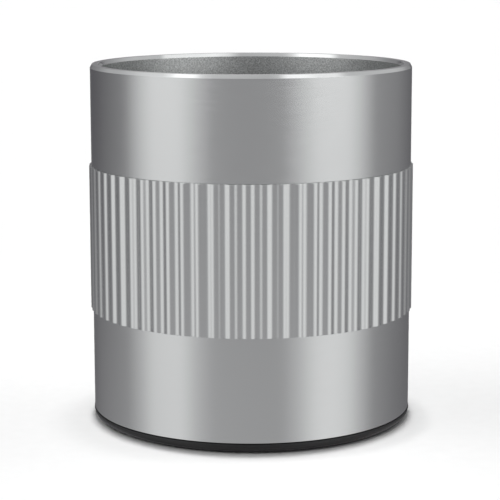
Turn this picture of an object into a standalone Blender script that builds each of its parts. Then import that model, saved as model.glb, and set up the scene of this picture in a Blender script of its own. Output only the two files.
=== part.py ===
"""Round aluminium pen holder: two turned tubes clamp a fluted ring between them, on a black moulded base cap."""

import math

import bmesh
import bpy

# Gap left between two pieces that touch, and how far a cutter runs past what it cuts
CLEARANCE = 0.0003
OVERRUN = 0.001

# Both tubes: outside, wall, and the edge broken round the foot of the lower one
OUTER_RADIUS = 0.045
WALL = 0.0025
EDGE_BREAK = 0.0003

# Lengths that stack up, with the clearances between them, to the height of the cup
PAD_STANDOFF = 0.0003
FLANGE_THICKNESS = 0.0021
LOWER_LENGTH = 0.0281
BAND_HEIGHT = 0.0407
UPPER_LENGTH = 0.0279

# Rim: a steep chamfer outside and a steeper, narrower one inside, with a flat between them
RIM_OUTER_WIDTH = 0.0005
RIM_OUTER_DROP = 0.00095
RIM_INNER_WIDTH = 0.00025
RIM_INNER_DROP = 0.00105

# Neck of the upper tube, which carries the ring and ends inside the lower tube
NECK_WALL_SHARE = 0.44
SPIGOT_LENGTH = 0.010
LEAD_IN = 0.0004

# Fluted ring: crest above the tubes, depth of a flute, and the chamfer turned across the crests
BAND_PROUD = 0.00063
FLUTE_COUNT = 65
FLUTE_DEPTH = 0.0005
BAND_CHAMFER = 0.0002
FIRST_CREST = math.radians(-90.74)
POINTS_PER_FLUTE = 6

# Base cap: flange just proud of the tube, skirt pushed up inside it, recess for the foot pad below
CAP_PROUD = 0.0001
CAP_EDGE_RADIUS = 0.0009
CAP_FLOOR = 0.002
SKIRT_HEIGHT = 0.008
SKIRT_WALL = 0.0022
SKIRT_CHAMFER = 0.0006
RECESS_MARGIN = 0.005

# Pads: a rubber one that the cup stands on and a felt one on the cup's floor
FOOT_PAD_THICKNESS = 0.0012
FLOOR_PAD_THICKNESS = 0.0015
FLOOR_PAD_MARGIN = 0.0005
PAD_ROUNDING = 0.0002

# Facets round a turned piece and along its small fillets, and the angle from which an edge is a corner
SEGMENTS = 2 * FLUTE_COUNT
FILLET_STEPS = 4
CORNER_ANGLE = math.radians(23)
MERGE_DISTANCE = 0.00001

# Radii that one piece takes from another
BORE_RADIUS = OUTER_RADIUS - WALL
NECK_RADIUS = BORE_RADIUS + NECK_WALL_SHARE * WALL
SOCKET_RADIUS = NECK_RADIUS + CLEARANCE
CREST_RADIUS = OUTER_RADIUS + BAND_PROUD
CAP_RADIUS = OUTER_RADIUS + CAP_PROUD
SKIRT_RADIUS = BORE_RADIUS - CLEARANCE
SKIRT_BORE_RADIUS = SKIRT_RADIUS - SKIRT_WALL
RECESS_RADIUS = CAP_RADIUS - RECESS_MARGIN

# Heights above the table at which the pieces sit
RECESS_TOP = FOOT_PAD_THICKNESS + CLEARANCE
CUP_FLOOR = RECESS_TOP + CAP_FLOOR
FLANGE_TOP = PAD_STANDOFF + FLANGE_THICKNESS
LOWER_BOTTOM = FLANGE_TOP + CLEARANCE
LOWER_TOP = LOWER_BOTTOM + LOWER_LENGTH
BAND_BOTTOM = LOWER_TOP + CLEARANCE
BAND_TOP = BAND_BOTTOM + BAND_HEIGHT
SHOULDER = BAND_TOP + CLEARANCE
RIM_TOP = SHOULDER + UPPER_LENGTH
NECK_END = LOWER_TOP - SPIGOT_LENGTH


def clear_scene():
    """Removes whatever the scene holds."""
    for obj in list(bpy.data.objects):
        bpy.data.objects.remove(obj, do_unlink=True)


def add_collection(name):
    """A new collection in the scene."""
    collection = bpy.data.collections.new(name)
    bpy.context.scene.collection.children.link(collection)
    return collection


def add_material(name, colour, roughness, metallic):
    """A plain surface in the piece's own colour."""
    material = bpy.data.materials.new(name)
    material.use_nodes = True
    shader = material.node_tree.nodes["Principled BSDF"]
    shader.inputs["Base Color"].default_value = (*colour, 1)
    shader.inputs["Roughness"].default_value = roughness
    shader.inputs["Metallic"].default_value = metallic
    material.diffuse_color = (*colour, 1)
    return material


def bake(obj):
    """Turns the object and its modifiers into a mesh that is smooth except at its corners."""
    bpy.context.view_layer.update()
    graph = bpy.context.evaluated_depsgraph_get()
    mesh = bpy.data.meshes.new_from_object(obj.evaluated_get(graph))
    obj.modifiers.clear()
    obj.data = mesh
    mesh.shade_smooth()
    mesh.set_sharp_from_angle(angle=CORNER_ANGLE)


def turn(name, profile, collection, steps=SEGMENTS):
    """A turned solid. The profile of (radius, height) runs down the outside, then back up the inside."""
    links = [(index, index + 1) for index in range(len(profile) - 1)]
    if profile[0][0] > 0:
        links.append((len(profile) - 1, 0))
    mesh = bpy.data.meshes.new(name)
    mesh.from_pydata([(radius, 0, height) for radius, height in profile], links, [])
    obj = bpy.data.objects.new(name, mesh)
    collection.objects.link(obj)
    screw = obj.modifiers.new("turning", "SCREW")
    screw.steps = steps
    screw.render_steps = steps
    screw.use_merge_vertices = True
    screw.merge_threshold = MERGE_DISTANCE
    bake(obj)
    return obj


def extrude_outlines(name, outlines, height, collection):
    """A flat solid as thick as height, centred on z = 0. The outlines after the first are holes in it."""
    curve = bpy.data.curves.new(name, "CURVE")
    curve.dimensions = "2D"
    curve.fill_mode = "BOTH"
    curve.extrude = height / 2
    for outline in outlines:
        spline = curve.splines.new("POLY")
        spline.points.add(len(outline) - 1)
        for point, (x, y) in zip(spline.points, outline):
            point.co = (x, y, 0, 1)
        spline.use_cyclic_u = True
    guide = bpy.data.objects.new(name + "_outline", curve)
    collection.objects.link(guide)
    bpy.context.view_layer.update()
    graph = bpy.context.evaluated_depsgraph_get()
    mesh = bpy.data.meshes.new_from_object(guide.evaluated_get(graph))
    bpy.data.objects.remove(guide, do_unlink=True)
    welded = bmesh.new()
    welded.from_mesh(mesh)
    bmesh.ops.remove_doubles(welded, verts=welded.verts, dist=MERGE_DISTANCE)
    bmesh.ops.recalc_face_normals(welded, faces=welded.faces)
    welded.to_mesh(mesh)
    welded.free()
    obj = bpy.data.objects.new(name, mesh)
    collection.objects.link(obj)
    return obj


def circle(radius, count):
    """Points round a circle, which start at +X."""
    angles = [2 * math.pi * index / count for index in range(count)]
    return [(radius * math.cos(angle), radius * math.sin(angle)) for angle in angles]


def fluted_outline():
    """Points round the ring, where the radius swings once from crest to valley and back for each flute."""
    swing = FLUTE_DEPTH / 2
    count = FLUTE_COUNT * POINTS_PER_FLUTE
    points = []
    for index in range(count):
        angle = 2 * math.pi * index / count
        radius = CREST_RADIUS - swing + swing * math.cos(FLUTE_COUNT * angle)
        turned = FIRST_CREST + angle
        points.append((radius * math.cos(turned), radius * math.sin(turned)))
    return points


def make_upper_tube(parts):
    """The rim and upper wall, and below its shoulder the neck that carries the ring. It is placed by its shoulder."""
    neck_bottom = NECK_END - SHOULDER
    profile = [
        (OUTER_RADIUS - RIM_OUTER_WIDTH, UPPER_LENGTH),
        (OUTER_RADIUS, UPPER_LENGTH - RIM_OUTER_DROP),
        (OUTER_RADIUS, 0),
        (NECK_RADIUS, 0),
        (NECK_RADIUS, neck_bottom + LEAD_IN),
        (NECK_RADIUS - LEAD_IN, neck_bottom),
        (BORE_RADIUS, neck_bottom),
        (BORE_RADIUS, UPPER_LENGTH - RIM_INNER_DROP),
        (BORE_RADIUS + RIM_INNER_WIDTH, UPPER_LENGTH),
    ]
    tube = turn("upper_tube", profile, parts)
    tube.location.z = SHOULDER
    tube.data.materials.append(add_material("satin_aluminium_upper", (0.66, 0.67, 0.66), 0.34, 1))
    return tube


def make_fluted_band(parts, cutters):
    """The ring with its flutes, whose crests are chamfered at both ends by the same turned blank."""
    outlines = [fluted_outline(), circle(SOCKET_RADIUS, SEGMENTS)]
    band = extrude_outlines("fluted_band", outlines, BAND_HEIGHT, parts)
    band.location.z = BAND_BOTTOM + BAND_HEIGHT / 2

    end = BAND_HEIGHT / 2 + OVERRUN
    end_radius = CREST_RADIUS - BAND_CHAMFER - OVERRUN
    side = BAND_HEIGHT / 2 - BAND_CHAMFER - OVERRUN
    side_radius = CREST_RADIUS + OVERRUN
    profile = [(0, end), (end_radius, end), (side_radius, side), (side_radius, -side), (end_radius, -end), (0, -end)]
    blank = turn("band_blank", profile, cutters, FLUTE_COUNT * POINTS_PER_FLUTE)
    blank.rotation_euler.z = FIRST_CREST
    blank.location.z = band.location.z
    blank.display_type = "WIRE"
    blank.hide_render = True

    chamfers = band.modifiers.new("turned_chamfers", "BOOLEAN")
    chamfers.operation = "INTERSECT"
    chamfers.solver = "EXACT"
    chamfers.object = blank
    bake(band)
    band.data.materials.clear()
    band.data.materials.append(add_material("satin_aluminium_band", (0.68, 0.69, 0.68), 0.30, 1))
    return band


def make_lower_tube(parts):
    """The wall below the ring, counterbored at its top for the neck. It is placed by its foot."""
    counterbore = NECK_END - CLEARANCE - LOWER_BOTTOM
    profile = [
        (OUTER_RADIUS, LOWER_LENGTH),
        (OUTER_RADIUS, EDGE_BREAK),
        (OUTER_RADIUS - EDGE_BREAK, 0),
        (BORE_RADIUS, 0),
        (BORE_RADIUS, counterbore),
        (SOCKET_RADIUS, counterbore),
        (SOCKET_RADIUS, LOWER_LENGTH),
    ]
    tube = turn("lower_tube", profile, parts)
    tube.location.z = LOWER_BOTTOM
    tube.data.materials.append(add_material("satin_aluminium_lower", (0.66, 0.67, 0.66), 0.34, 1))
    return tube


def make_base_cap(parts):
    """The moulded cap that closes the cup: floor, skirt inside the tube and flange below it."""
    centre_radius = CAP_RADIUS - CAP_EDGE_RADIUS
    centre_height = PAD_STANDOFF + CAP_EDGE_RADIUS
    skirt_top = FLANGE_TOP + SKIRT_HEIGHT
    profile = [
        (0, CUP_FLOOR),
        (SKIRT_BORE_RADIUS, CUP_FLOOR),
        (SKIRT_BORE_RADIUS, skirt_top),
        (SKIRT_RADIUS - SKIRT_CHAMFER, skirt_top),
        (SKIRT_RADIUS, skirt_top - SKIRT_CHAMFER),
        (SKIRT_RADIUS, FLANGE_TOP),
        (CAP_RADIUS, FLANGE_TOP),
    ]
    for step in range(FILLET_STEPS + 1):
        angle = math.pi / 2 * step / FILLET_STEPS
        radius = centre_radius + CAP_EDGE_RADIUS * math.cos(angle)
        profile.append((radius, centre_height - CAP_EDGE_RADIUS * math.sin(angle)))
    profile += [(RECESS_RADIUS, PAD_STANDOFF), (RECESS_RADIUS, RECESS_TOP), (0, RECESS_TOP)]
    cap = turn("base_cap", profile, parts)
    cap.data.materials.append(add_material("black_abs", (0.02, 0.02, 0.021), 0.5, 0))
    return cap


def make_pad(name, radius, thickness, parts):
    """A die-cut disc with slightly rounded edges, which stands on z = 0."""
    profile = [
        (0, thickness),
        (radius - PAD_ROUNDING, thickness),
        (radius, thickness - PAD_ROUNDING),
        (radius, PAD_ROUNDING),
        (radius - PAD_ROUNDING, 0),
        (0, 0),
    ]
    return turn(name, profile, parts)


def make_floor_pad(parts):
    """The felt disc that lies loose on the cup's floor, inside the skirt."""
    pad = make_pad("floor_pad", SKIRT_BORE_RADIUS - FLOOR_PAD_MARGIN, FLOOR_PAD_THICKNESS, parts)
    pad.location.z = CUP_FLOOR + CLEARANCE
    pad.data.materials.append(add_material("grey_felt", (0.045, 0.046, 0.05), 0.95, 0))
    return pad


def make_foot_pad(parts):
    """The rubber disc that the cup stands on, glued into the cap's recess."""
    pad = make_pad("foot_pad", RECESS_RADIUS - CLEARANCE, FOOT_PAD_THICKNESS, parts)
    pad.data.materials.append(add_material("black_rubber", (0.03, 0.03, 0.03), 0.85, 0))
    return pad


def main():
    """Builds every piece and hangs them on one empty at the middle of the cup's foot."""
    clear_scene()
    parts = add_collection("pen_holder")
    cutters = add_collection("cutters")
    origin = bpy.data.objects.new("pen_holder_origin", None)
    parts.objects.link(origin)
    pieces = [
        make_upper_tube(parts),
        make_fluted_band(parts, cutters),
        make_lower_tube(parts),
        make_base_cap(parts),
        make_floor_pad(parts),
        make_foot_pad(parts),
    ]
    for piece in pieces:
        piece.parent = origin


main()
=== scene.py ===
import math

import bpy
import numpy as np
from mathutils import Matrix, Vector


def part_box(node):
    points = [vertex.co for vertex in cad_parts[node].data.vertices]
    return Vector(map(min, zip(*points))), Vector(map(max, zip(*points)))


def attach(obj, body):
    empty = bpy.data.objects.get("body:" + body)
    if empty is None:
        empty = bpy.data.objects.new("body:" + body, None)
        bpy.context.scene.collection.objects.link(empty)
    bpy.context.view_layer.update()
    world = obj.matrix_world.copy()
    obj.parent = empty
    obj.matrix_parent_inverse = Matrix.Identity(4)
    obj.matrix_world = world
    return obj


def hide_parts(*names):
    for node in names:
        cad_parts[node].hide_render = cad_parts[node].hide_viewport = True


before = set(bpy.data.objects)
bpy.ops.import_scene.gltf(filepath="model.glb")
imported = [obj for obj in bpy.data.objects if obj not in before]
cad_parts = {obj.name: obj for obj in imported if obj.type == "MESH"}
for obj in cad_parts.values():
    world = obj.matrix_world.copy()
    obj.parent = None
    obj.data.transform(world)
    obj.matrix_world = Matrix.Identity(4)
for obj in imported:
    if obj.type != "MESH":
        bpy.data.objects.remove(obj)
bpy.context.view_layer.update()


# Upper tube. The cup's upper wall is drawn aluminium tube, turned to size and anodised, with a steep polished
# chamfer outside the rim and a smaller one inside it. Its bore is blasted and feels like fine sand. Below the
# shoulder it goes on as a thinner neck, which carries the fluted ring and ends in a socket of the lower tube.
upper_low, upper_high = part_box("upper_tube")
band_low, band_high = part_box("fluted_band")
tube_wall = 0.0025
neck_wall = 0.0011
tube_radius = upper_high.x
bore_radius = tube_radius - tube_wall
neck_radius = bore_radius + neck_wall
neck_lead_in = 0.0004
piece_gap = 0.0003
seam = 0.00004
shoulder = band_high.z + seam
rim_outer_width = 0.0005
rim_outer_drop = 0.00095
rim_inner_width = 0.00025
rim_inner_drop = 0.00105
rim_fillet = 0.00008
edge_fillet = 0.00005
fillet_points = 5
tube_turns = 480


def rounded_section(corners, closed=True):
    """Points and outward normals of a section in (radius, height), whose corners carry arcs.

    A corner is (radius, height, fillet). The arc's centre lies on the bisector of the corner's two sides, at
    the fillet divided by the sine of half the corner's angle, and the arc turns evenly from one side's normal
    to the other's. The section runs down its outer side and up its inner one. An open one starts and ends on
    the axis.
    """
    corners = np.asarray(corners, float)
    place, fillet = corners[..., :2], corners[..., 2:]
    back = np.roll(place, 1, axis=-2) - place
    ahead = np.roll(place, -1, axis=-2) - place
    back /= np.linalg.norm(back, axis=-1, keepdims=True)
    ahead /= np.linalg.norm(ahead, axis=-1, keepdims=True)
    bisector = back + ahead
    bisector /= np.linalg.norm(bisector, axis=-1, keepdims=True)
    sine = np.sqrt(1 - np.sum(back * bisector, axis=-1, keepdims=True) ** 2)
    centre = place + bisector * fillet / sine
    first = np.stack([back[..., 1], -back[..., 0]], axis=-1)
    last = np.stack([-ahead[..., 1], ahead[..., 0]], axis=-1)
    swing = np.arccos(np.sum(first * last, axis=-1))[..., None, None]
    outward = -np.sign(np.sum(first * bisector, axis=-1))[..., None, None]
    share = np.linspace(0, 1, fillet_points)[:, None]
    normals = np.sin((1 - share) * swing) * first[..., None, :] + np.sin(share * swing) * last[..., None, :]
    normals /= np.sin(swing)
    points = centre[..., None, :] + outward * fillet[..., None] * normals
    if not closed:
        points[..., [0, -1], :, :] = place[..., [0, -1], None, :]
        normals[..., 0, :, :] = last[..., 0, None, :]
        normals[..., -1, :, :] = first[..., -1, None, :]
    flat = points.shape[:-3] + (-1, 2)
    return points.reshape(flat), normals.reshape(flat)


def carried_round(section, normals, turns, start=0.0):
    """Points and normals of a section carried round Z, where x and y are its radius times cosine and sine.

    The section may change with the angle. Its normal then leans back along the way round by how fast its
    radius and height grow there, each times its share of the normal and divided by the radius, which is kept
    off zero at the axis.
    """
    angle = start + 2 * np.pi / turns * np.arange(turns)[:, None]
    shape = (turns, section.shape[-2])
    radius, height = (np.broadcast_to(section[..., axis], shape) for axis in (0, 1))
    out, up = (np.broadcast_to(normals[..., axis], shape) for axis in (0, 1))
    growth = [np.roll(values, -1, axis=0) - np.roll(values, 1, axis=0) for values in (radius, height)]
    lean = (out * growth[0] + up * growth[1]) * turns / (4 * np.pi * np.maximum(radius, edge_fillet))
    cosine, sine = np.cos(angle), np.sin(angle)
    points = np.stack([radius * cosine, radius * sine, height], axis=-1)
    return points, np.stack([out * cosine + lean * sine, out * sine - lean * cosine, up], axis=-1)


def ring_piece(name, points, normals, finishes, finish_numbers=(), closed=True):
    """A smooth closed piece on a grid of turns by section points.

    Where there are several finishes, each corner and the side after it take the one of their number. A
    section that starts and ends on the axis keeps one point of each end, which a fan of triangles closes.
    """
    inner = points if closed else points[:, fillet_points:-fillet_points]
    leaning = normals if closed else normals[:, fillet_points:-fillet_points]
    turns, count = inner.shape[:2]
    number = np.arange(turns * count).reshape(turns, count)
    if closed:
        number = np.column_stack([number, number[:, 0]])
    ahead = np.roll(number, -1, axis=0)
    faces = np.stack([number[:, :-1], number[:, 1:], ahead[:, 1:], ahead[:, :-1]], axis=-1)
    faces = faces.reshape(-1, 4).tolist()
    vertices, vertex_normals = inner.reshape(-1, 3), leaning.reshape(-1, 3)
    if not closed:
        top, bottom = turns * count, turns * count + 1
        vertices = np.concatenate([vertices, points[:1, 0], points[:1, -1]])
        vertex_normals = np.concatenate([vertex_normals, normals[:1, 0], normals[:1, -1]])
        faces += np.column_stack([np.full(turns, top), number[:, 0], ahead[:, 0]]).tolist()
        faces += np.column_stack([number[:, -1], np.full(turns, bottom), ahead[:, -1]]).tolist()
    mesh = bpy.data.meshes.new(name)
    mesh.from_pydata(vertices, [], faces)
    mesh.polygons.foreach_set("use_smooth", np.ones(len(mesh.polygons), bool))
    mesh.normals_split_custom_set_from_vertices(vertex_normals)
    for finish in finishes:
        mesh.materials.append(finish)
    if len(finishes) > 1:
        of_step = np.repeat(finish_numbers, fillet_points)
        mesh.polygons.foreach_set("material_index", np.tile(of_step, turns).astype(np.int32))
    piece = bpy.data.objects.new(name, mesh)
    bpy.context.scene.collection.objects.link(piece)
    return piece


def linear(colour):
    """The linear values of an sRGB hex colour: the low ones over 12.92, the rest by the 2.4 power."""
    values = np.array([int(colour[start : start + 2], 16) / 255 for start in (1, 3, 5)])
    return (*np.where(values <= 0.04045, values / 12.92, ((values + 0.055) / 1.055) ** 2.4), 1.0)


def add_node(tree, kind, settings=(), inputs=()):
    """Adds a node and sets its properties and inputs: a given socket is linked, anything else is a value."""
    node = tree.nodes.new(kind)
    for name, value in dict(settings).items():
        setattr(node, name, value)
    for name, value in dict(inputs).items():
        if isinstance(value, bpy.types.NodeSocket):
            tree.links.new(value, node.inputs[name])
        else:
            node.inputs[name].default_value = value
    return node


def new_finish(name):
    """An empty material's node tree, its shader and the piece's own coordinates in metres."""
    material = bpy.data.materials.new(name)
    material.use_nodes = True
    tree = material.node_tree
    shader = tree.nodes["Principled BSDF"]
    place = add_node(tree, "ShaderNodeTexCoord").outputs["Object"]
    return material, tree, shader, place


# Satin anodised aluminium: a turned surface, bead-blasted and anodised clear. It gives wide soft highlights
# with a trace of the turning round them. The turning marks are really 0.05 mm apart and the blasted dimples
# 0.1 mm wide, and they are drawn at 0.8 mm and 0.25 mm to show.
def satin_aluminium():
    """Metal whose roughness and height vary in short rings, because the noise is squeezed harder along Z."""
    turning_pitch = 0.0008
    ring_stretch = 8
    grain = 0.00025
    blasting_share = 0.1
    mark_height = 0.00002
    material, tree, shader, place = new_finish("satin_anodised_aluminium")
    ringed = add_node(
        tree,
        "ShaderNodeMapping",
        inputs={"Vector": place, "Scale": (1 / ring_stretch, 1 / ring_stretch, 1)},
    )
    turning = add_node(
        tree,
        "ShaderNodeTexNoise",
        inputs={
            "Vector": ringed.outputs["Vector"],
            "Scale": 1 / turning_pitch,
            "Detail": 3.0,
            "Roughness": 0.6,
        },
    )
    blasting = add_node(
        tree,
        "ShaderNodeTexNoise",
        inputs={"Vector": place, "Scale": 1 / grain, "Detail": 2.0, "Roughness": 0.5},
    )
    roughness = add_node(
        tree,
        "ShaderNodeMapRange",
        inputs={
            "Value": turning.outputs["Fac"],
            "From Min": 0.3,
            "From Max": 0.7,
            "To Min": 0.18,
            "To Max": 0.22,
        },
    )
    height = add_node(
        tree,
        "ShaderNodeMix",
        inputs={"Factor": blasting_share, "A": turning.outputs["Fac"], "B": blasting.outputs["Fac"]},
    )
    bump = add_node(
        tree,
        "ShaderNodeBump",
        inputs={"Height": height.outputs["Result"], "Strength": 0.4, "Distance": mark_height},
    )
    shader.inputs["Base Color"].default_value = linear("#e5e7e6")
    shader.inputs["Metallic"].default_value = 1.0
    tree.links.new(roughness.outputs["Result"], shader.inputs["Roughness"])
    tree.links.new(bump.outputs["Normal"], shader.inputs["Normal"])
    return material


# Polished aluminium: the chamfers, cut bright with a diamond tool after the blasting. They mirror the lights.
# The tool's marks are really 0.05 mm apart, and are drawn at 0.6 mm to show.
def polished_aluminium():
    """Metal with a low roughness that a fine noise lifts a little, as a cutter's marks do."""
    cutter_marks = 0.0006
    material, tree, shader, place = new_finish("diamond_cut_aluminium")
    marks = add_node(
        tree, "ShaderNodeTexNoise", inputs={"Vector": place, "Scale": 1 / cutter_marks, "Detail": 2.0}
    )
    roughness = add_node(
        tree,
        "ShaderNodeMapRange",
        inputs={
            "Value": marks.outputs["Fac"],
            "From Min": 0.3,
            "From Max": 0.7,
            "To Min": 0.07,
            "To Max": 0.1,
        },
    )
    shader.inputs["Base Color"].default_value = linear("#eceeed")
    shader.inputs["Metallic"].default_value = 1.0
    tree.links.new(roughness.outputs["Result"], shader.inputs["Roughness"])
    return material


# Blasted aluminium: the bore, shot with coarse grit and left as it comes. It looks darker than the outside,
# and grainy like sand.
def blasted_aluminium():
    """Rough metal whose grit stands up as noise, with painted shade that darkens the pits between the grains.
    """
    grit = 0.00035
    grit_height = 0.00007
    material, tree, shader, place = new_finish("grit_blasted_aluminium")
    coarse = add_node(
        tree,
        "ShaderNodeTexNoise",
        inputs={"Vector": place, "Scale": 1 / grit, "Detail": 4.0, "Roughness": 0.6},
    )
    # Painted shade: the colour is dark where the grit's noise is low, in the pits between the grains, and
    # light on the grains' tops.
    pit_shade = add_node(tree, "ShaderNodeValToRGB", inputs={"Fac": coarse.outputs["Fac"]})
    pit_shade.color_ramp.elements[0].position = 0.35
    pit_shade.color_ramp.elements[0].color = linear("#a0a2a2")
    pit_shade.color_ramp.elements[1].position = 0.62
    pit_shade.color_ramp.elements[1].color = linear("#dcdedd")
    bump = add_node(
        tree,
        "ShaderNodeBump",
        inputs={"Height": coarse.outputs["Fac"], "Strength": 0.6, "Distance": grit_height},
    )
    tree.links.new(pit_shade.outputs["Color"], shader.inputs["Base Color"])
    shader.inputs["Metallic"].default_value = 1.0
    shader.inputs["Roughness"].default_value = 0.4
    tree.links.new(bump.outputs["Normal"], shader.inputs["Normal"])
    return material


satin = satin_aluminium()
polished = polished_aluminium()
blasted = blasted_aluminium()
tube_finishes = [satin, polished, blasted]

upper_corners = [
    (tube_radius - rim_outer_width, upper_high.z, rim_fillet),
    (tube_radius, upper_high.z - rim_outer_drop, rim_fillet),
    (tube_radius, shoulder, edge_fillet),
    (neck_radius, shoulder, edge_fillet),
    (neck_radius, upper_low.z + neck_lead_in, edge_fillet),
    (neck_radius - neck_lead_in, upper_low.z, edge_fillet),
    (bore_radius, upper_low.z, edge_fillet),
    (bore_radius, upper_high.z - rim_inner_drop, rim_fillet),
    (bore_radius + rim_inner_width, upper_high.z, rim_fillet),
]
upper_sides = [1, 0, 0, 0, 0, 0, 2, 1, 1]
upper_points, upper_normals = carried_round(*rounded_section(upper_corners), tube_turns)
upper_piece = ring_piece("upper_tube_turned", upper_points, upper_normals, tube_finishes, upper_sides)
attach(upper_piece, "root")
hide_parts("upper_tube")


# Fluted ring. A ring cut from an aluminium extrusion with rounded flutes all round, faced at both ends with a
# small chamfer turned across the crests, and anodised with the tubes. It slides up the neck to the shoulder.
flute_count = 65
flute_depth = 0.00058
flank_share = 0.057
ring_proud = 0.00063
crest_radius = tube_radius + ring_proud
first_crest = math.radians(-90.94)
band_bore_radius = neck_radius + piece_gap
band_chamfer_width = 0.0003
band_chamfer_drop = 0.00012
valley_chamfer = 0.00006
band_fillet = 0.00002
turns_per_flute = 20


def fluted_radius(share):
    """The ring's radius at a share of one flute: the crest's, less half the depth times one minus the cosine.

    A little of the same wave at three times the pace is taken off that, which steepens the flanks.
    """
    turn = 2 * np.pi * share
    wave = (1 - np.cos(turn)) - flank_share * (1 - np.cos(3 * turn))
    return crest_radius - flute_depth / 2 * wave


def fluted_corners(share):
    """The ring's corners at each angle. The chamfer is a cone, wide on a crest and narrow in a valley."""
    outer = fluted_radius(share)
    end = np.minimum(crest_radius - band_chamfer_width, outer - valley_chamfer)
    chamfer = (outer - end) * band_chamfer_drop / band_chamfer_width
    bore = np.full_like(outer, band_bore_radius)
    low = np.full_like(outer, band_low.z)
    high = np.full_like(outer, band_high.z)
    fillet = np.full_like(outer, band_fillet)
    corners = [
        (end, high, fillet),
        (outer, high - chamfer, fillet),
        (outer, low + chamfer, fillet),
        (end, low, fillet),
        (bore, low, fillet),
        (bore, high, fillet),
    ]
    return np.moveaxis(np.array(corners), -1, 0)


band_turns = flute_count * turns_per_flute
flute_shares = np.arange(band_turns) / turns_per_flute
band_points, band_normals = carried_round(
    *rounded_section(fluted_corners(flute_shares)), band_turns, first_crest
)
band_piece = ring_piece("fluted_band_extruded", band_points, band_normals, [satin])
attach(band_piece, "root")
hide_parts("fluted_band")


# Lower tube. The same drawn tube as above, counterbored at its top for the neck, so that it clamps the ring
# against the shoulder. The edge round its foot is broken, and catches a thin line of light above the base.
lower_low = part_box("lower_tube")[0]
foot_edge = 0.0001
foot_seam = 0.0002
socket_floor = upper_low.z - piece_gap
lower_top = band_low.z - seam
lower_corners = [
    (tube_radius, lower_top, edge_fillet),
    (tube_radius, lower_low.z + foot_edge, edge_fillet),
    (tube_radius - foot_edge, lower_low.z, edge_fillet),
    (bore_radius, lower_low.z, edge_fillet),
    (bore_radius, socket_floor, edge_fillet),
    (band_bore_radius, socket_floor, edge_fillet),
    (band_bore_radius, lower_top, edge_fillet),
]
lower_sides = [0, 1, 0, 2, 0, 0, 0]
lower_points, lower_normals = carried_round(*rounded_section(lower_corners), tube_turns)
lower_piece = ring_piece("lower_tube_turned", lower_points, lower_normals, tube_finishes, lower_sides)
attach(lower_piece, "root")
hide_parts("lower_tube")


# Base cap. One black ABS moulding: a floor, a skirt pressed up inside the tube, and a flange under the tube's
# foot whose lower edge is rounded. Underneath, a shallow recess takes the foot pad.
cap_low, cap_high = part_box("base_cap")
foot_low, foot_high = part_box("foot_pad")
floor_low, floor_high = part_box("floor_pad")
cap_edge = 0.0018
cap_fillet = 0.0001
skirt_radius = bore_radius - piece_gap
floor_pad_margin = 0.0005
skirt_bore_radius = floor_high.x + floor_pad_margin
skirt_chamfer = 0.0006
recess_radius = foot_high.x + piece_gap
recess_top = foot_high.z + piece_gap
cup_floor = floor_low.z - piece_gap
flange_top = lower_low.z - foot_seam


def black_abs():
    """Black plastic whose moulded satin grain softens its highlights: noise lifts surface and roughness."""
    mould_grain = 0.0003
    grain_height = 0.00002
    material, tree, shader, place = new_finish("moulded_black_abs")
    grain = add_node(
        tree, "ShaderNodeTexNoise", inputs={"Vector": place, "Scale": 1 / mould_grain, "Detail": 2.0}
    )
    roughness = add_node(
        tree,
        "ShaderNodeMapRange",
        inputs={
            "Value": grain.outputs["Fac"],
            "From Min": 0.3,
            "From Max": 0.7,
            "To Min": 0.42,
            "To Max": 0.55,
        },
    )
    bump = add_node(
        tree,
        "ShaderNodeBump",
        inputs={"Height": grain.outputs["Fac"], "Strength": 0.3, "Distance": grain_height},
    )
    shader.inputs["Base Color"].default_value = linear("#151516")
    shader.inputs["IOR"].default_value = 1.53
    tree.links.new(roughness.outputs["Result"], shader.inputs["Roughness"])
    tree.links.new(bump.outputs["Normal"], shader.inputs["Normal"])
    return material


cap_corners = [
    (0, cup_floor, 0),
    (skirt_bore_radius, cup_floor, cap_fillet),
    (skirt_bore_radius, cap_high.z, cap_fillet),
    (skirt_radius - skirt_chamfer, cap_high.z, cap_fillet),
    (skirt_radius, cap_high.z - skirt_chamfer, cap_fillet),
    (skirt_radius, flange_top, cap_fillet),
    (cap_high.x, flange_top, cap_fillet),
    (cap_high.x, cap_low.z, cap_edge),
    (recess_radius, cap_low.z, cap_fillet),
    (recess_radius, recess_top, cap_fillet),
    (0, recess_top, 0),
]
cap_points, cap_normals = carried_round(*rounded_section(cap_corners, closed=False), tube_turns)
cap_piece = ring_piece("base_cap_moulded", cap_points, cap_normals, [black_abs()], closed=False)
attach(cap_piece, "root")
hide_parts("base_cap")


# Floor pad. A disc die-cut from pressed grey felt, laid loose inside the skirt so that points don't drum on
# the plastic. Its cut edge is rounded. Its fibres are really 0.03 mm thick, and are drawn at 0.3 mm to show.
pad_fillet = 0.0003


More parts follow.
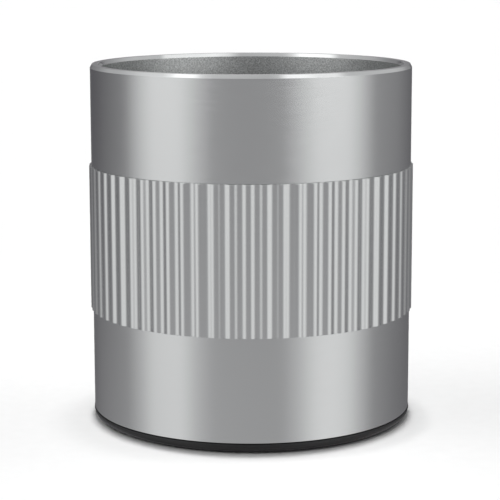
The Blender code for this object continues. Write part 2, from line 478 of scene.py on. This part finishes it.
def pressed_felt():
    """Felt: fibres as distorted noise over a soft mottle, fully rough with a grey sheen."""
    fibre = 0.0003
    fibre_height = 0.0002
    mottle = 0.0012
    material, tree, shader, place = new_finish("pressed_grey_felt")
    clouds = add_node(
        tree, "ShaderNodeTexNoise", inputs={"Vector": place, "Scale": 1 / mottle, "Detail": 4.0}
    )
    fibres = add_node(
        tree,
        "ShaderNodeTexNoise",
        inputs={"Vector": place, "Scale": 1 / fibre, "Detail": 4.0, "Roughness": 0.6, "Distortion": 2.5},
    )
    blend = add_node(
        tree,
        "ShaderNodeMix",
        inputs={"Factor": 0.65, "A": clouds.outputs["Fac"], "B": fibres.outputs["Fac"]},
    )
    colours = add_node(tree, "ShaderNodeValToRGB", inputs={"Fac": blend.outputs["Result"]})
    colours.color_ramp.elements[0].position = 0.38
    colours.color_ramp.elements[0].color = linear("#2b2c2e")
    colours.color_ramp.elements[1].position = 0.62
    colours.color_ramp.elements[1].color = linear("#4a4c50")
    bump = add_node(
        tree,
        "ShaderNodeBump",
        inputs={"Height": fibres.outputs["Fac"], "Strength": 0.8, "Distance": fibre_height},
    )
    tree.links.new(colours.outputs["Color"], shader.inputs["Base Color"])
    shader.inputs["Roughness"].default_value = 0.95
    shader.inputs["Sheen Weight"].default_value = 0.3
    shader.inputs["Sheen Roughness"].default_value = 0.5
    tree.links.new(bump.outputs["Normal"], shader.inputs["Normal"])
    return material


def pad_corners(low, high):
    """The corners of a disc that fills the box of its node, with both edges rounded."""
    return [(0, high.z, 0), (high.x, high.z, pad_fillet), (high.x, low.z, pad_fillet), (0, low.z, 0)]


floor_points, floor_normals = carried_round(
    *rounded_section(pad_corners(floor_low, floor_high), closed=False), tube_turns
)
floor_piece = ring_piece("floor_pad_felt", floor_points, floor_normals, [pressed_felt()], closed=False)
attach(floor_piece, "root")
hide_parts("floor_pad")


# Foot pad. A disc die-cut from black cellular rubber and glued into the cap's recess. It stands just below
# the cap, so that the cup grips the desk.
def cellular_rubber():
    """Foam rubber: open cells, drawn by the distance to scattered points, pit a matt black surface, and
    painted shade darkens each pit.
    """
    cell = 0.0006
    cell_depth = 0.0001
    material, tree, shader, place = new_finish("black_cellular_rubber")
    cells = add_node(tree, "ShaderNodeTexVoronoi", inputs={"Vector": place, "Scale": 1 / cell})
    # Painted shade: the colour is darkest at each cell's centre, which the bump sinks into a pit, and lighter
    # towards the cell's walls.
    colours = add_node(tree, "ShaderNodeValToRGB", inputs={"Fac": cells.outputs["Distance"]})
    colours.color_ramp.elements[0].position = 0.1
    colours.color_ramp.elements[0].color = linear("#0f0f10")
    colours.color_ramp.elements[1].position = 0.6
    colours.color_ramp.elements[1].color = linear("#2a2a2b")
    bump = add_node(
        tree,
        "ShaderNodeBump",
        inputs={"Height": cells.outputs["Distance"], "Strength": 0.6, "Distance": cell_depth},
    )
    tree.links.new(colours.outputs["Color"], shader.inputs["Base Color"])
    shader.inputs["Roughness"].default_value = 0.85
    tree.links.new(bump.outputs["Normal"], shader.inputs["Normal"])
    return material


foot_points, foot_normals = carried_round(
    *rounded_section(pad_corners(foot_low, foot_high), closed=False), tube_turns
)
foot_piece = ring_piece("foot_pad_rubber", foot_points, foot_normals, [cellular_rubber()], closed=False)
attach(foot_piece, "root")
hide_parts("foot_pad")


# The floor is a plain sheet of white paper. The metal mirrors the studio round it instead, so the floor stays
# out of its gloss.
floor_size = 20.0
bpy.ops.mesh.primitive_plane_add(size=floor_size)
floor = bpy.context.object
floor.name = "studio_floor"
floor.visible_glossy = False


def white_paper():
    """Uncoated paper: matt, with a faint cloudiness where the pulp lies thicker, as noise in the colour."""
    pulp_cloud = 0.004
    material, tree, shader, place = new_finish("uncoated_white_paper")
    pulp = add_node(
        tree, "ShaderNodeTexNoise", inputs={"Vector": place, "Scale": 1 / pulp_cloud, "Detail": 5.0}
    )
    colours = add_node(tree, "ShaderNodeValToRGB", inputs={"Fac": pulp.outputs["Fac"]})
    colours.color_ramp.elements[0].position = 0.3
    colours.color_ramp.elements[0].color = linear("#f3f3f3")
    colours.color_ramp.elements[1].position = 0.7
    colours.color_ramp.elements[1].color = linear("#f5f5f5")
    tree.links.new(colours.outputs["Color"], shader.inputs["Base Color"])
    shader.inputs["Roughness"].default_value = 0.9
    shader.inputs["Specular IOR Level"].default_value = 0.0
    return material


floor.data.materials.append(white_paper())


# The studio is two soft boxes, left and right of the camera, with grey between them and dark flags behind. It
# is a stack of rings, because the metal's slopes look at different heights. Each ring has its heights and its
# lights, as angles from the camera's side with the light at each. The camera itself sees a white room.
studio_rings = [
    # Below, which the walls mirror for an eye far above them.
    (
        (-1.02, -1.01),
        (
            (-180, 0.15), (-160, 0.12), (-105, 0.22), (-86, 0.46), (-74, 0.68), (-51, 0.74),
            (-40, 0.52), (-27, 0.38), (22, 0.35), (35, 0.52), (47, 0.74), (72, 0.7), (84, 0.48),
            (105, 0.22), (160, 0.12), (180, 0.15),
        ),
    ),
    # The floor beside the cup, which lightens the rounded edge of the base.
    (
        (-0.7, -0.6),
        (
            (-180, 0.4), (-170, 0.68), (-130, 0.68), (-105, 0.35), (-74, 0.65), (-51, 0.7), (-35, 0.42),
            (30, 0.4), (47, 0.7), (72, 0.7), (105, 0.35), (130, 0.68), (170, 0.68), (180, 0.4),
        ),
    ),
    # Mirrored by the lower wall.
    (
        (-0.42, -0.3),
        (
            (-180, 0.3), (-160, 0.14), (-140, 0.21), (-122, 0.25), (-100, 0.3), (-86, 0.46),
            (-74, 0.69), (-51, 0.75), (-40, 0.53), (-27, 0.4), (22, 0.37), (35, 0.55), (47, 0.77),
            (60, 0.8), (72, 0.72), (84, 0.49), (98, 0.28), (125, 0.19), (163, 0.14), (180, 0.3),
        ),
    ),
    # Mirrored by the upper wall.
    (
        (-0.28, -0.08),
        (
            (-180, 0.3), (-160, 0.1), (-140, 0.12), (-109, 0.21), (-100, 0.25), (-86, 0.58), (-74, 0.77),
            (-51, 0.76), (-40, 0.56), (-27, 0.3), (22, 0.3), (35, 0.52), (47, 0.7), (72, 0.75),
            (84, 0.59), (98, 0.3), (125, 0.25), (143, 0.18), (163, 0.12), (180, 0.3),
        ),
    ),
    # The horizon, which lights the bore. Its narrow light straight behind is mirrored by the rim's flat top.
    (
        (0.02, 0.08),
        (
            (-180, 0.6), (-177, 0.55), (-175, 0.18), (-142, 0.25), (-105, 0.35), (-90, 0.45), (-74, 1.9),
            (-30, 1.9), (-18, 0.45), (9, 0.45), (24, 1.3), (35, 3.0), (72, 3.0), (88, 0.6), (100, 0.45),
            (130, 0.38), (175, 0.18), (177, 0.55), (180, 0.6),
        ),
    ),
    # Mirrored by the rim's inner chamfer.
    (
        (0.13, 0.24),
        (
            (-180, 0.2), (-142, 0.29), (-128, 0.43), (-100, 0.48), (-76, 0.56), (-67, 1.2), (-41, 1.25),
            (-34, 0.8), (-27, 0.56), (9, 0.48), (18, 0.85), (30, 1.02), (44, 0.95), (73, 0.93),
            (78, 0.54), (130, 0.53), (155, 0.33), (180, 0.2),
        ),
    ),
    # Mirrored by the rim's outer chamfer.
    (
        (0.4, 0.62),
        (
            (-180, 0.12), (-150, 0.28), (-125, 0.6), (-95, 0.72), (-77, 0.75), (-69, 1.0), (-64, 1.3),
            (-50, 1.2), (-43, 0.72), (-32, 0.56), (15, 0.47), (24, 0.55), (32, 1.05), (46, 1.12),
            (60, 0.93), (74, 0.92), (84, 0.55), (118, 0.51), (140, 0.26), (157, 0.12), (180, 0.12),
        ),
    ),
    # The ceiling.
    ((0.9, 0.98), ((-180, 0.8), (180, 0.8))),
]


def build_studio():
    """The world: the angle from the front, an arc tangent of the direction's x and minus y, picks the light.

    Each ring takes over from the one below as the direction's height climbs through its heights, by the
    smooth step three times the square less twice the cube. A trace of blue is added, which shows in the dark
    parts.
    """
    green_trace = -0.003
    blue_trace = 0.006
    unset_place = 0.5
    world = bpy.data.worlds.new("studio")
    bpy.context.scene.world = world
    world.cycles_visibility.diffuse = False
    world.use_nodes = True
    tree = world.node_tree
    tree.nodes.clear()
    direction = add_node(tree, "ShaderNodeTexCoord").outputs["Generated"]
    axes = add_node(tree, "ShaderNodeSeparateXYZ", inputs={"Vector": direction})
    towards_front = add_node(
        tree, "ShaderNodeMath", {"operation": "MULTIPLY"}, {0: axes.outputs["Y"], 1: -1.0}
    )
    angle = add_node(
        tree,
        "ShaderNodeMath",
        {"operation": "ARCTAN2"},
        {0: axes.outputs["X"], 1: towards_front.outputs["Value"]},
    )
    share = add_node(
        tree,
        "ShaderNodeMapRange",
        inputs={"Value": angle.outputs["Value"], "From Min": -math.pi, "From Max": math.pi},
    )
    colour = (0.0, 0.0, 0.0, 1.0)
    for (low, high), lights in studio_rings:
        ramp = add_node(tree, "ShaderNodeValToRGB", inputs={"Fac": share.outputs["Result"]})
        elements = ramp.color_ramp.elements
        while len(elements) < len(lights):
            elements.new(unset_place)
        for element, (degrees, light) in zip(elements, lights):
            element.position = (degrees + 180) / 360
            element.color = (light, light + green_trace, light + blue_trace, 1.0)
        height = add_node(
            tree,
            "ShaderNodeMapRange",
            {"interpolation_type": "SMOOTHSTEP"},
            {"Value": axes.outputs["Z"], "From Min": low, "From Max": high},
        )
        blend = add_node(
            tree,
            "ShaderNodeMixRGB",
            inputs={"Fac": height.outputs["Result"], "Color1": colour, "Color2": ramp.outputs["Color"]},
        )
        colour = blend.outputs["Color"]
    seen = add_node(tree, "ShaderNodeBackground", inputs={"Color": (1.0, 1.0, 1.0, 1.0)})
    studio = add_node(tree, "ShaderNodeBackground", inputs={"Color": colour})
    path = add_node(tree, "ShaderNodeLightPath")
    choice = add_node(
        tree,
        "ShaderNodeMixShader",
        inputs={
            0: path.outputs["Is Camera Ray"],
            1: studio.outputs["Background"],
            2: seen.outputs["Background"],
        },
    )
    add_node(tree, "ShaderNodeOutputWorld", inputs={"Surface": choice.outputs["Shader"]})


build_studio()


# Seven soft lamps hang high over the cup: three narrow ones just behind it, which draw the thin shadow along
# the front of its foot, and four wide ones beside it, whose shadows fade out to its sides. The metal mirrors
# none of them. Each has its tilts to the right and to the back, its width, all in degrees, and its strength.
lamps = {
    "lamp_behind": (0.0, 2.0, 2.0, 1.42),
    "lamp_behind_left": (-3.1, 3.8, 3.3, 0.46),
    "lamp_behind_right": (5.3, 5.3, 6.8, 0.44),
    "lamp_left": (-42.0, -4.0, 50.0, 0.8),
    "lamp_back_left": (-29.0, 21.0, 23.0, 0.14),
    "lamp_right": (42.0, -4.0, 51.0, 0.27),
    "lamp_back_right": (33.0, 15.5, 37.0, 0.34),
}
for lamp_name, (tilt_right, tilt_back, width, strength) in lamps.items():
    lamp_data = bpy.data.lights.new(lamp_name, "SUN")
    lamp_data.angle = math.radians(width)
    lamp_data.energy = strength
    lamp = bpy.data.objects.new(lamp_name, lamp_data)
    lamp.rotation_euler = (math.radians(-tilt_back), math.radians(tilt_right), 0)
    lamp.visible_glossy = False
    bpy.context.scene.collection.objects.link(lamp)
bpy.context.scene.view_settings.view_transform = "Standard"


# The camera stands where the photograph was taken: 496 mm in front of the cup's axis and 35 mm above its rim,
# tipped 9.3 degrees down and leaning 0.1 degrees, with a long lens. The photograph's crop lies a little low.
photo_side_px = 500
focal_px = 1766.8
middle_from_top_px = 225
sensor_width = 36.0
camera_to_left = 0.0002
camera_to_front = 0.4959
camera_above_rim = 0.03471
tip_degrees = 9.253
lean_degrees = 0.103
camera_data = bpy.data.cameras.new("camera")
camera_data.sensor_width = sensor_width
camera_data.lens = sensor_width * focal_px / photo_side_px
camera_data.shift_y = middle_from_top_px / photo_side_px - 0.5
camera = bpy.data.objects.new("camera", camera_data)
camera.location = (-camera_to_left, -camera_to_front, upper_high.z + camera_above_rim)
camera.rotation_euler = (math.radians(90 - tip_degrees), math.radians(lean_degrees), 0)
bpy.context.scene.collection.objects.link(camera)
bpy.context.scene.camera = camera
